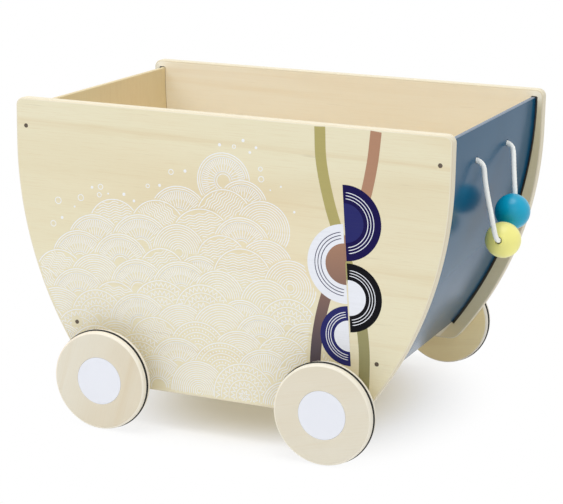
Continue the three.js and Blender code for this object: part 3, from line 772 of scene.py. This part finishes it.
def make_side_panel(name):
    side = SIDES[name]
    y_low, y_high = sorted((side * HALF_WIDTH, side * (HALF_WIDTH - PANEL_THICKNESS)))
    shape = rounded_slab(panel_outline, y_low, y_high, EDGE_ROUND)
    panel = mesh_object(f"{name}_plywood_panel", shape, "side_panel_plywood",
                        f"side_panel_{name}", [PANEL_FACE, PANEL_EDGE, GROOVE_PAINTED_SHADE, INSIDE_VENEER_PAINTED_LIGHT_AND_SHADE])
    for face in panel.data.polygons:
        outward = face.normal.y * side > 0
        face.material_index = (0 if outward else 3) if face.index < 2 else 1
    inner = side * (HALF_WIDTH - PANEL_THICKNESS)
    span = sorted((inner + side * GROOVE_DEPTH, inner - side * 2))
    waste = [slab(groove, *span) for groove in (end_groove(1), end_groove(-1), floor_groove())]
    hole = rod_profile(AXLE_RADIUS + SEAT_GAP, 20)
    waste += [turned(hole, (end * AXLE_X, side * HALF_WIDTH, AXLE_Z), (0, 1, 0), 48)
              for end in ENDS.values()]
    head, shank = SCREW_HEAD_RADIUS + SEAT_GAP / 2, SCREW_SHANK_RADIUS + SEAT_GAP
    hole = [(0, -3), (head, -3), (head, 0.8), (shank, 1.9), (shank, 14), (0, 14)]
    waste += [turned(hole, place, (0, -side, 0), 40) for _, place in screw_places(name)]
    cut(panel, [cutter(shape, 2) for shape in waste])
    settle_normals(panel)


def corner_waste(end, side):
    """What is cut away to round a bent sheet's upper corner."""
    inset = END_CORNER_RADIUS
    turn = arc(SHEET_HALF_WIDTH - inset, END_TOP - inset, inset, 0, pi / 2, 16)
    out, top = SHEET_HALF_WIDTH + CUT_MARGIN, END_TOP + CUT_MARGIN
    outline = [*turn, (turn[-1][0], top), (out, top), (out, turn[0][1])]
    middle = end * sheet_x(END_MIDDLE_RADIUS, END_TOP)
    rings = [[(middle + x, side * y, z) for y, z in outline] for x in (-END_THICKNESS, END_THICKNESS)]
    return cutter(stacked(rings, flip=side == -1), 2)


def make_end_panel(name):
    end = ENDS[name]
    low, high = sheet_angle(END_BOTTOM), sheet_angle(END_TOP)
    outline = mirrored(band(END_RADIUS, END_INNER_RADIUS, low, high, END_EDGE_ROUND), end)
    shape = slab(outline, -SHEET_HALF_WIDTH, SHEET_HALF_WIDTH)
    panel = mesh_object(f"{name}_bent_panel", shape, "blue_painted_plywood",
                        f"end_panel_{name}", [END_PAINT, END_FACE, END_EDGES[name]])
    for polygon in panel.data.polygons:
        middle = polygon.center / MM
        depth = END_RADIUS - hypot(abs(middle.x) - END_CENTRE_X, middle.z - END_CENTRE_Z)
        if abs(polygon.normal.y) > 0.9 or 0.05 < depth < END_THICKNESS - 0.05:
            polygon.material_index = 2
        else:
            polygon.material_index = 0 if depth < END_THICKNESS / 2 else 1
    waste = [corner_waste(end, side) for side in SIDES.values()]
    if end == 1:
        # The cord holes' walls take the dark blue paint, as painted shade inside the holes.
        hole = rod_profile(CORD_HOLE_RADIUS, 14)
        waste += [cutter(turned(hole, place, (1, 0, 0), 48))
                  for side in SIDES.values() for place in from_hole([(0, 0, 0)], side)]
    cut(panel, waste)
    settle_normals(panel)


def make_screw(name, place, side):
    """A countersunk screw with a cross recess in its head."""
    profile = [(0, 0), (SCREW_HEAD_RADIUS - 0.15, 0), (SCREW_HEAD_RADIUS, 0.15), (SCREW_HEAD_RADIUS, 0.6),
               (SCREW_SHANK_RADIUS, 1.6), (SCREW_SHANK_RADIUS, 28), (0, 32)]
    screw = mesh_object(f"cross_head_screw_{name}", turned(profile, place, (0, -side, 0), 40),
                        "dark_screw", f"panel_screw_{name}", [DARK_STEEL])
    arms = []
    for turn in (RECESS_TURN, RECESS_TURN + pi / 2):
        spin = Quaternion((0, 1, 0), turn)
        rings = [[place + spin @ Vector((x * share, -side * depth, z)) for x, z in RECESS_ARM]
                 for depth, share in RECESS_ENDS]
        arms.append(cutter(stacked(rings, flip=side == -1)))
    cut(screw, arms)


for panel_side in SIDES:
    make_side_panel(panel_side)
    for screw_name, screw_place in screw_places(panel_side):
        make_screw(screw_name, screw_place, SIDES[panel_side])
for panel_end in ENDS:
    make_end_panel(panel_end)


def dress(node, material):
    """Gives a CAD node that is shown as it is its finish."""
    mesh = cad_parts[node].data
    mesh.materials.clear()
    mesh.materials.append(material)


dress("floor_panel", FLOOR_FACE)


# Print on the right side panel: scallops in white lines, two crossed ribbons and four half-discs, all of
# them thin closed plates of ink on the veneer
PRINT_SEED = 23
PRINT_BACK_Y = -HALF_WIDTH + 0.03
PRINT_MARGIN = 2.2
LINE_WIDTH = 0.75
LINE_HEIGHT = 0.1
LINE_STEP = 1.5
LINE_TIP = 0.6
RING_GAPS = (2.1, 2.6)
RAY_BORDER = 2.2
RAY_HEART_SHARE = 0.34
RAY_PITCH = 4.6
DOT_RADIUS = 0.75
DOT_PITCH = 3.4
DOT_ROW_DROP = 5.6
ZIGZAG_DROP = 8
ZIGZAG_PITCH = 5.2
WAVE_DROP = 2.5
SCALLOP_PITCH = 45
SCALLOP_ROW_DROP = 19
SCALLOP_RADIUS = (25, 33)
SCALLOP_GAP = 1.1
SCALLOP_ROWS = 14
SCALLOP_TOP_Z = 291
SCALLOP_LIMIT_X = 104
MARK_SPACING = 8
MARK_TRIES = 70
MARK_SPAN = (-195, 74)
SKYLINE = [
    (-225, 150), (-196, 176), (-168, 211), (-140, 232), (-112, 226), (-88, 222), (-62, 248), (-36, 264),
    (-16, 268), (4, 289), (22, 291), (42, 262), (60, 236), (76, 216), (84, 180), (96, 140), (128, 90),
]
RIBBONS = {
    "olive": (INK_OLIVE, 0.05,
              [(97, 316), (99, 285), (108, 246), (124, 200), (138, 156), (146, 112), (147, 60)]),
    "brown": (INK_BROWN, 0.08,
              [(152, 316), (149, 285), (141, 246), (125, 204), (108, 160), (99, 116), (97, 41)]),
}
RIBBON_WIDTH = 10.8
STEM_TOP = (120, 264)
STEM_LEAN = radians(-4.7)
HALF_DISCS = [
    {"along": 36, "radius": 36, "side": 1, "inks": (INK_NAVY, INK_INDIGO, INK_WHITE)},
    {"along": 75, "radius": 38, "side": -1, "inks": (INK_WHITE, INK_BROWN, INK_NAVY)},
    {"along": 107, "radius": 33, "side": 1, "inks": (INK_BLACK, INK_WHITE, INK_WHITE)},
    {"along": 144, "radius": 29, "side": -1, "inks": (INK_INDIGO, INK_WHITE, INK_WHITE)},
]
STEM_GAP = 0.7
INNER_DISC_SHARE = 0.52
DISC_LINE_SHARES = (0.64, 0.72, 0.8)
DISC_HEIGHT = 0.11
DISC_TRIM_HEIGHT = 0.14
PRINT_CLEARANCE = 2.4
DENSE_FROM_X = 60
SCREW_CLEARANCE = 5.5
AXLE_CLEARANCE = 10


class Print:
    """Collects plates of one ink and makes them one mesh."""

    def __init__(self):
        self.points, self.faces = [], []

    def add(self, shape):
        points, faces = shape
        self.faces += [[len(self.points) + corner for corner in face] for face in faces]
        self.points += points

    def plate(self, outline, height):
        """A filled outline of (x, z), counterclockwise as it is seen."""
        self.add(slab(outline, -HALF_WIDTH - height, PRINT_BACK_Y))

    def stroke(self, line, width, height, tip=1.0):
        """A line of (x, z) drawn with a pen that thins to tip at both ends."""
        front, last, rings = -HALF_WIDTH - height, len(line) - 1, []
        for i, (x, z) in enumerate(line):
            (x0, z0), (x1, z1) = line[max(i - 1, 0)], line[min(i + 1, last)]
            length = hypot(x1 - x0, z1 - z0)
            half = width / 2 * min(1, tip + 0.4 * min(i, last - i))
            dx, dz = half * (z1 - z0) / length, half * (x0 - x1) / length
            rings.append([(x + dx, PRINT_BACK_Y, z + dz), (x + dx, front, z + dz),
                          (x - dx, front, z - dz), (x - dx, PRINT_BACK_Y, z - dz)])
        self.add(stacked(rings))

    def make(self, name, material):
        mesh_object(name, (self.points, self.faces), "side_panel_plywood", None, [material], 30)


def ring(centre, radius):
    return arc(*centre, radius, 0, tau, max(10, round(radius * tau / LINE_STEP)))


def smooth_line(places, spacing):
    path, _ = smooth_path([Vector((x, 0, z)) for x, z in places], spacing)
    return [(p.x, p.z) for p in path]


def height_on(line, x):
    """The height of a line of (x, z) at x."""
    for (x0, z0), (x1, z1) in zip(line, line[1:]):
        if x0 <= x <= x1:
            return z0 + (z1 - z0) * (x - x0) / (x1 - x0)
    return line[0][1] if x < line[0][0] else line[-1][1]


def on_panel(x, z, margin):
    """Whether a place lies on the panel's flat face, clear of its rounded edge."""
    reach = SWEEP_RADIUS - margin
    drop = z - SWEEP_Z
    edge = HALF_LENGTH - margin if drop > 0 else SWEEP_X + sqrt(reach**2 - drop**2)
    foot = PANEL_BOTTOM + BOTTOM_CORNER_RADIUS - z
    if foot > 0:
        edge -= BOTTOM_CORNER_RADIUS - sqrt(max(0, BOTTOM_CORNER_RADIUS**2 - foot**2))
    return PANEL_BOTTOM + margin < z < PANEL_TOP - margin and abs(x) < edge


def half_disc(disc, share=1.0, trim=0.0, steps=44):
    """Points round a half-disc that stands on one side of the stem."""
    x = STEM_TOP[0] - disc["along"] * sin(STEM_LEAN) + disc["side"] * STEM_GAP
    z = STEM_TOP[1] - disc["along"] * cos(STEM_LEAN)
    start = (pi / 2 if disc["side"] == -1 else -pi / 2) - STEM_LEAN + trim
    return arc(x, z, disc["radius"] * share, start, start + pi - 2 * trim, steps)


def in_half_disc(x, z, disc, margin):
    points = half_disc(disc, steps=2)
    (x0, z0), (x1, z1) = points[0], points[-1]
    dx, dz = x - (x0 + x1) / 2, z - (z0 + z1) / 2
    above = ((x1 - x0) * dz - (z1 - z0) * dx) / (2 * disc["radius"])
    return hypot(dx, dz) < disc["radius"] + margin and above < margin


def within(x, z, circles):
    return any(hypot(x - a, z - b) < radius for a, b, radius in circles)


def make_blocked():
    """The places that white line work keeps off, as a test of (x, z)."""
    reach = RIBBON_WIDTH / 2 + PRINT_CLEARANCE
    ribbons = [(*place, reach) for _, _, places in RIBBONS.values() for place in smooth_line(places, 4)]
    holes = [(place.x, place.z, SCREW_CLEARANCE) for _, place in screw_places("right")]
    holes += [(end * AXLE_X, AXLE_Z, AXLE_CLEARANCE) for end in ENDS.values()]

    def blocked(x, z):
        if not on_panel(x, z, PRINT_MARGIN) or within(x, z, holes):
            return True
        return x >= DENSE_FROM_X and (
            within(x, z, ribbons) or any(in_half_disc(x, z, disc, PRINT_CLEARANCE) for disc in HALF_DISCS))
    return blocked


def scallop_lines(centre, radius, kind, dice):
    """The lines and dots that fill one scallop."""
    lines, dots = [ring(centre, radius)], []
    if kind == "rings":
        gap = dice.uniform(*RING_GAPS)
        lines += [ring(centre, radius - gap * k) for k in range(1, int(radius / gap))]
    elif kind == "rays":
        rim, heart = radius - 2 * RAY_BORDER, radius * RAY_HEART_SHARE
        lines += [ring(centre, r) for r in (radius - RAY_BORDER, rim, heart, heart - RAY_BORDER)]
        dots.append((*centre, heart - 4.2))
        count = 2 * round(tau * rim / RAY_PITCH)
        for k in range(count):
            a = tau * k / count
            low = heart if k % 2 else (heart + rim) / 2
            lines.append([around(centre, low + (rim - low) * i / 10, a) for i in range(11)])
    elif kind == "dots":
        for k in range(1, int(radius / DOT_ROW_DROP) + 1):
            lines.append(ring(centre, radius - DOT_ROW_DROP * k + 0.5))
            row = radius - DOT_ROW_DROP * k + 3.1
            count = round(tau * row / DOT_PITCH)
            dots += [(*around(centre, row, tau * i / count), DOT_RADIUS) for i in range(count)]
    elif kind == "zigzag":
        for k in range(int(radius / ZIGZAG_DROP)):
            outer, inner = radius - 1.6 - ZIGZAG_DROP * k, radius - 6.4 - ZIGZAG_DROP * k
            count = 2 * round(tau * outer / ZIGZAG_PITCH)
            corners = [(outer if i % 2 else inner, tau * i / count) for i in range(count + 1)]
            zigzag = [around(centre, r0 + (r1 - r0) * t / 4, a0 + (a1 - a0) * t / 4)
                      for (r0, a0), (r1, a1) in zip(corners, corners[1:]) for t in range(4)]
            lines += [zigzag, ring(centre, inner - 1.5)]
    elif kind == "waves":
        tilt, swell, pitch = dice.uniform(-0.9, 0.9), dice.uniform(0.7, 1.3), dice.uniform(9, 13)
        rows = int((radius - 3) / WAVE_DROP)
        for k in range(-rows, rows + 1):
            across = WAVE_DROP * k
            half = sqrt((radius - 1.6) ** 2 - across**2)
            steps = max(2, int(2 * half / LINE_STEP))
            places = [-half + 2 * half * i / steps for i in range(steps + 1)]
            lines.append([around(around(centre, along, tilt), across + swell * sin(tau * along / pitch),
                                 tilt + pi / 2) for along in places])
    return lines, dots


def place_scallops(dice):
    """Scallops from the back row to the front one, as (centre, radius, kind)."""
    scallops = []
    kinds = "rings rays dots rays zigzag waves rings".split()
    for row in range(SCALLOP_ROWS):
        z = SCALLOP_TOP_Z - SCALLOP_ROW_DROP * row
        x = -HALF_LENGTH + (SCALLOP_PITCH / 2 if row % 2 else 0)
        while x < HALF_LENGTH:
            centre = (x + dice.uniform(-4, 4), z + dice.uniform(-4, 4))
            radius, kind = dice.uniform(*SCALLOP_RADIUS), dice.choice(kinds)
            if centre[0] < SCALLOP_LIMIT_X and centre[1] + radius < height_on(SKYLINE, centre[0]):
                scallops.append((centre, radius, kind))
            x += SCALLOP_PITCH
    return scallops


def draw_runs(ink_lines, line, hidden, width):
    """Draws the stretches of a line that nothing hides."""
    for covered, run in groupby(line, lambda place: hidden(*place)):
        run = list(run)
        if not covered and len(run) > 2:
            ink_lines.stroke(run, width, LINE_HEIGHT, LINE_TIP)


def make_print():
    dice = random.Random(PRINT_SEED)
    blocked = make_blocked()
    lines = Print()
    scallops = place_scallops(dice)
    for number, (centre, radius, kind) in enumerate(scallops):
        front = [(*other, r + SCALLOP_GAP) for other, r, _ in scallops[number + 1:]
                 if dist(other, centre) < r + radius]

        def hidden(x, z):
            return dist((x, z), centre) > radius + 0.01 or within(x, z, front) or blocked(x, z)

        strands, dots = scallop_lines(centre, radius, kind, dice)
        for k, strand in enumerate(strands):
            draw_runs(lines, strand, hidden, LINE_WIDTH * (1.25 if k == 0 else 1))
        for x, z, r in dots:
            rim = arc(x, z, r, 0, tau, round(9 + 3 * r))[:-1]
            if not any(hidden(*p) for p in rim):
                lines.plate(rim, LINE_HEIGHT)
    circles = [(*centre, radius + 4) for centre, radius, _ in scallops]
    for k in range(MARK_TRIES):
        x = dice.uniform(*MARK_SPAN)
        z = height_on(SKYLINE[1:-2], x) + abs(dice.gauss(0, 9)) - 5
        size = dice.uniform(0.8, 1.7)
        if blocked(x, z) or within(x, z, circles):
            continue
        circles.append((x, z, MARK_SPACING))
        if k % 2:
            lines.plate(arc(x, z, size, 0, tau, 14)[:-1], LINE_HEIGHT)
        else:
            lines.stroke(ring((x, z), 2 * size), LINE_WIDTH, LINE_HEIGHT)
    lines.make("printed_white_lines", INK_LINE)

    for name, (material, height, places) in RIBBONS.items():
        ribbon = Print()
        ribbon.stroke([p for p in smooth_line(places, 1.5) if on_panel(*p, 1.7)], RIBBON_WIDTH, height)
        ribbon.make(f"printed_{name}_ribbon", material)
    for number, disc in enumerate(HALF_DISCS, 1):
        outer, inner, trim = Print(), Print(), Print()
        outer.plate(half_disc(disc), DISC_HEIGHT)
        inner.plate(half_disc(disc, INNER_DISC_SHARE), DISC_TRIM_HEIGHT)
        for share in DISC_LINE_SHARES:
            trim.stroke(half_disc(disc, share, 0.1), LINE_WIDTH, DISC_TRIM_HEIGHT, LINE_TIP)
        for plates, part, material in zip((outer, inner, trim), ("", "_middle", "_lines"), disc["inks"]):
            plates.make(f"printed_half_disc_{number}{part}", material)


make_print()


# Running gear

def quarter(radius, along, round_by, outward, steps=8):
    """A rounded corner at (radius, along), for a face that looks outward (1) or inward (-1)."""
    turn = arc(0, 0, round_by, 0, pi / 2, steps)
    return [(radius + (c - round_by), along + outward * (s - round_by)) for c, s in turn][::outward]


def wheel_profile():
    bore = AXLE_RADIUS + RUNNING_CLEARANCE
    groove = TYRE_SECTION + SEAT_GAP
    centre = TYRE_RADIUS - TYRE_SECTION
    lip = acos((WHEEL_RADIUS - centre) / groove)
    seat = WHEEL_OUT - CAP_THICKNESS - SEAT_GAP
    floor = WHEEL_OUT - WELL_DEPTH
    return [
        (bore, WHEEL_IN),
        *quarter(WHEEL_RADIUS, WHEEL_IN, WHEEL_EDGE_ROUND, -1),
        *arc(centre, WHEEL_MIDDLE, groove, -lip, lip - tau, 20),
        *quarter(WHEEL_RADIUS, WHEEL_OUT, WHEEL_EDGE_ROUND, 1),
        (CAP_RADIUS + 0.35, WHEEL_OUT), (CAP_RADIUS + 0.15, WHEEL_OUT - 0.2), (CAP_RADIUS + 0.15, seat),
        (WELL_RADIUS, seat), (WELL_RADIUS, floor), (bore, floor), (bore, WHEEL_IN),
    ]


def cap_profile():
    face, back = WHEEL_OUT - 0.02, WHEEL_OUT - CAP_THICKNESS
    spigot, tip = WELL_RADIUS - SEAT_GAP, back - 1.6
    return [(0, back), (spigot - 1.5, back), (spigot - 1.5, tip), (spigot, tip), (spigot, back),
            (CAP_RADIUS, back), *quarter(CAP_RADIUS, face, 0.35, 1, 4), (0, face)]


def tyre_profile():
    section = arc(TYRE_RADIUS - TYRE_SECTION, WHEEL_MIDDLE, TYRE_SECTION, 0, tau, 24)
    return [*section[:-1], section[0]]


def spacer_profile():
    bore, low, high = AXLE_RADIUS + SEAT_GAP, SEAT_GAP, WHEEL_IN - SEAT_GAP
    edges = [*quarter(SPACER_RADIUS, low, 0.5, -1, 4), *quarter(SPACER_RADIUS, high, 0.5, 1, 4)]
    return [(bore, low), *edges, (bore, high), (bore, low)]


def make_wheel(end, side, turn):
    corner = f"{end}_{side}"
    side = SIDES[side]
    hub = (ENDS[end] * AXLE_X, side * HALF_WIDTH, AXLE_Z)
    face = wood(f"wheel veneer {corner}", srgb(224, 218, 201), srgb(208, 186, 146), turn, 7.3 * turn, 0.8)
    # The wheels' inner faces are a warmer, lighter veneer: partly the board's back veneer, partly painted
    # warm bounce light on the shaded side.
    back = wood(f"wheel back veneer with painted bounce {corner}", srgb(252, 237, 190), srgb(226, 198, 146), turn + 1.2,
                3.1 * turn)
    pieces = [
        ("wooden_wheel", wheel_profile(), 144, "wheel_wood", "wheel", [face, back, WHEEL_RIM_HIGHLIGHT]),
        ("rubber_tyre", tyre_profile(), 144, "tyre_rubber", "tyre", [RUBBER]),
        ("white_hub_disc", cap_profile(), 96, "cap_white", "hub_cap", [CAP_WHITE]),
        ("nylon_spacer", spacer_profile(), 48, "spacer_nylon", "axle_spacer", [NYLON]),
    ]
    for name, profile, segments, slot, node, tints in pieces:
        body = "tub" if node == "axle_spacer" else f"{corner}_wheel"
        piece = mesh_object(f"{name}_{corner}", turned(profile, hub, (0, side, 0), segments), slot,
                            f"{node}_{corner}", tints, body=body)
        if node == "wheel":
            # Faces across the axis are the outer and inner faces; the rest are the rim, with its painted
            # highlight.
            for polygon in piece.data.polygons:
                facing = polygon.normal.y * side
                polygon.material_index = 0 if facing > 0.97 else 1 if facing < -0.9 else 2
        settle_normals(piece)
    dress(f"push_nut_{corner}", STEEL)


def make_axle(end):
    tip = [(AXLE_RADIUS, AXLE_HALF_LENGTH - AXLE_CHAMFER), (AXLE_RADIUS - AXLE_CHAMFER, AXLE_HALF_LENGTH),
           (0, AXLE_HALF_LENGTH)]
    rod = [*((radius, -along) for radius, along in reversed(tip)), *tip]
    mesh_object(f"steel_axle_{end}", turned(rod, (ENDS[end] * AXLE_X, 0, AXLE_Z), (0, 1, 0), 48),
                "axle_steel", f"axle_{end}", [STEEL])


make_wheel("front", "right", 0.25)
make_wheel("front", "left", 2.1)
make_axle("front")
make_wheel("rear", "right", 1.3)
make_wheel("rear", "left", 0.8)
make_axle("rear")


# Stage and light
FLOOR_REACH = 30 / MM
FLOOR_GLOW = 0.3
# Warm tint of the floor's glow near the cart: painted warm bounce light from the wood.
WARM_GLOW = (1, 0.92, 0.68, 1)
SHADOW_REACH = (0.15, 0.175)
FLOOR_FADE = (0.42, 1.5)
WARM_FADE = (0.4, 1.05)


def make_floor():
    """White, and lighter still to the camera, which lightens the shadow on it but keeps it. Near the cart
    that glow is warm, a painted warm bounce from the wood, and in mirror images the floor is plain white
    light.
    """
    shader = Shader("white floor", Roughness=0.9, Specular_IOR_Level=0)
    shader.colour(srgb(250, 250, 250))
    corners = [(x * FLOOR_REACH, y * FLOOR_REACH, 0) for x, y in ((-1, -1), (1, -1), (1, 1), (-1, 1))]
    mesh_object("floor", (corners, [[0, 1, 2, 3]]), tints=[shader.material])
    camera_ray, mirrored_ray = shader.rays()
    reach = shader.stretched((1 / SHADOW_REACH[0], 1 / SHADOW_REACH[1], 0))
    distance = shader.node("VectorMath", Vector=reach)
    distance.operation = "LENGTH"
    far, cool = (shader.ramp(distance.outputs["Value"], *fade) for fade in (FLOOR_FADE, WARM_FADE))
    glow = shader.node("Emission", Color=shader.mixed(WARM_GLOW, (1, 1, 1, 1), cool), Strength=1)
    mix = shader.node("MixShader")
    shown = shader.maths("MULTIPLY", shader.span(far, FLOOR_GLOW, 1), camera_ray)
    share = shader.maths("MAXIMUM", shown, mirrored_ray)
    for socket, value in zip(mix.inputs, (share, shader.surface.outputs[0], glow.outputs[0])):
        shader.feed(socket, value)
    shader.feed(shader.tree.nodes["Material Output"].inputs["Surface"], mix.outputs[0])


def make_world(level):
    world = bpy.data.worlds.new("studio")
    scene.world = world
    world.use_nodes = True
    nodes = Nodes(world.node_tree)
    background = nodes.tree.nodes["Background"]
    background.inputs["Color"].default_value = (1, 1, 1, 1)
    shown = nodes.maths("MAXIMUM", *nodes.rays())
    nodes.feed(background.inputs["Strength"], nodes.span(shown, level, 1))


def make_lamp(name, place, size, watts):
    data = bpy.data.lights.new(name, "AREA")
    data.shape = "DISK"
    data.size = size
    data.energy = watts
    lamp = bpy.data.objects.new(name, data)
    lamp.location = place
    lamp.rotation_euler = (Vector(place) - Vector((0, 0, 0.15))).to_track_quat("Z", "Y").to_euler()
    link(lamp)


make_floor()
make_world(0.63)
make_lamp("key_softbox", (-1.4, -1.6, 2.0), 1.5, 13)
make_lamp("top_softbox", (0.1, -0.35, 2.7), 2.0, 33)
make_lamp("right_softbox", (1.5, -1.9, 1.3), 1.2, 2.5)

scene.view_settings.view_transform = "Standard"
